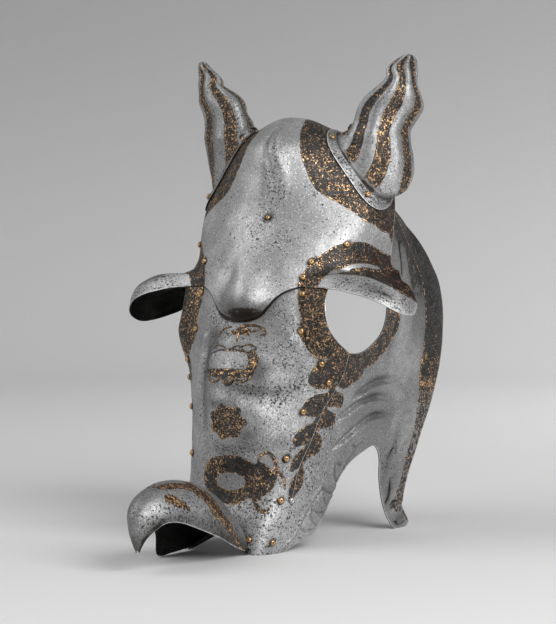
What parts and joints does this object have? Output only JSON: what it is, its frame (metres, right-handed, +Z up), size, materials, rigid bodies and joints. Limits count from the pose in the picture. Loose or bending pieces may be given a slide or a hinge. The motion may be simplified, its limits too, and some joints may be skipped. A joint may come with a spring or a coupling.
{
  "type": "horse head armour",
  "caption": "Full shaffron: a hollow riveted steel mask for a horse's head, with flared eye hoods, fluted ear guards and a hooked snout, standing on its lower edges.",
  "frame": {"origin": "middle of the box round the mask, level with the lower edges it stands on", "axes": "+Z up, the nose points along -Y, +X is the horse's left, on the viewer's right when it is seen from the front"},
  "size_m": [0.4178, 0.5503, 0.6235],
  "materials": {
    "bright_steel": "bright worn steel, lightly pitted",
    "cheek_steel": "darker smooth steel",
    "snout_steel": "bright worn steel",
    "ear_steel": "steel with etched and gilded flutes",
    "rivet_brass": "worn gilt brass"
  },
  "bodies": {
    "root": {"crown_plate": "bright_steel", "muzzle_plate": "bright_steel", "cheek_plate_right": "cheek_steel", "cheek_plate_left": "cheek_steel", "snout": "snout_steel", "ear_guard_right": "ear_steel", "ear_guard_left": "ear_steel", "rivet_brow_outer_right": "rivet_brass", "rivet_brow_outer_left": "rivet_brass", "rivet_brow_upper_right": "rivet_brass", "rivet_brow_upper_left": "rivet_brass", "rivet_brow_lower_right": "rivet_brass", "rivet_muzzle_top_right": "rivet_brass", "rivet_muzzle_top_left": "rivet_brass", "rivet_muzzle_eye_right": "rivet_brass", "rivet_muzzle_eye_left": "rivet_brass", "rivet_muzzle_upper_right": "rivet_brass", "rivet_muzzle_upper_left": "rivet_brass", "rivet_muzzle_middle_right": "rivet_brass", "rivet_muzzle_middle_left": "rivet_brass", "rivet_muzzle_side_right": "rivet_brass", "rivet_muzzle_side_left": "rivet_brass", "rivet_muzzle_lower_right": "rivet_brass", "rivet_muzzle_lower_left": "rivet_brass", "rivet_muzzle_seam_right": "rivet_brass", "rivet_muzzle_seam_left": "rivet_brass", "rivet_muzzle_foot_right": "rivet_brass", "rivet_muzzle_foot_left": "rivet_brass", "rivet_snout_upper_right": "rivet_brass", "rivet_snout_upper_left": "rivet_brass", "rivet_snout_lower_right": "rivet_brass", "rivet_snout_lower_left": "rivet_brass", "rivet_ear_front_right": "rivet_brass", "rivet_ear_front_left": "rivet_brass", "rivet_ear_side_right": "rivet_brass", "rivet_ear_side_left": "rivet_brass", "rivet_ear_rear_right": "rivet_brass", "rivet_ear_rear_left": "rivet_brass", "rivet_crown_middle_right": "rivet_brass"}
  },
  "joints": []
}
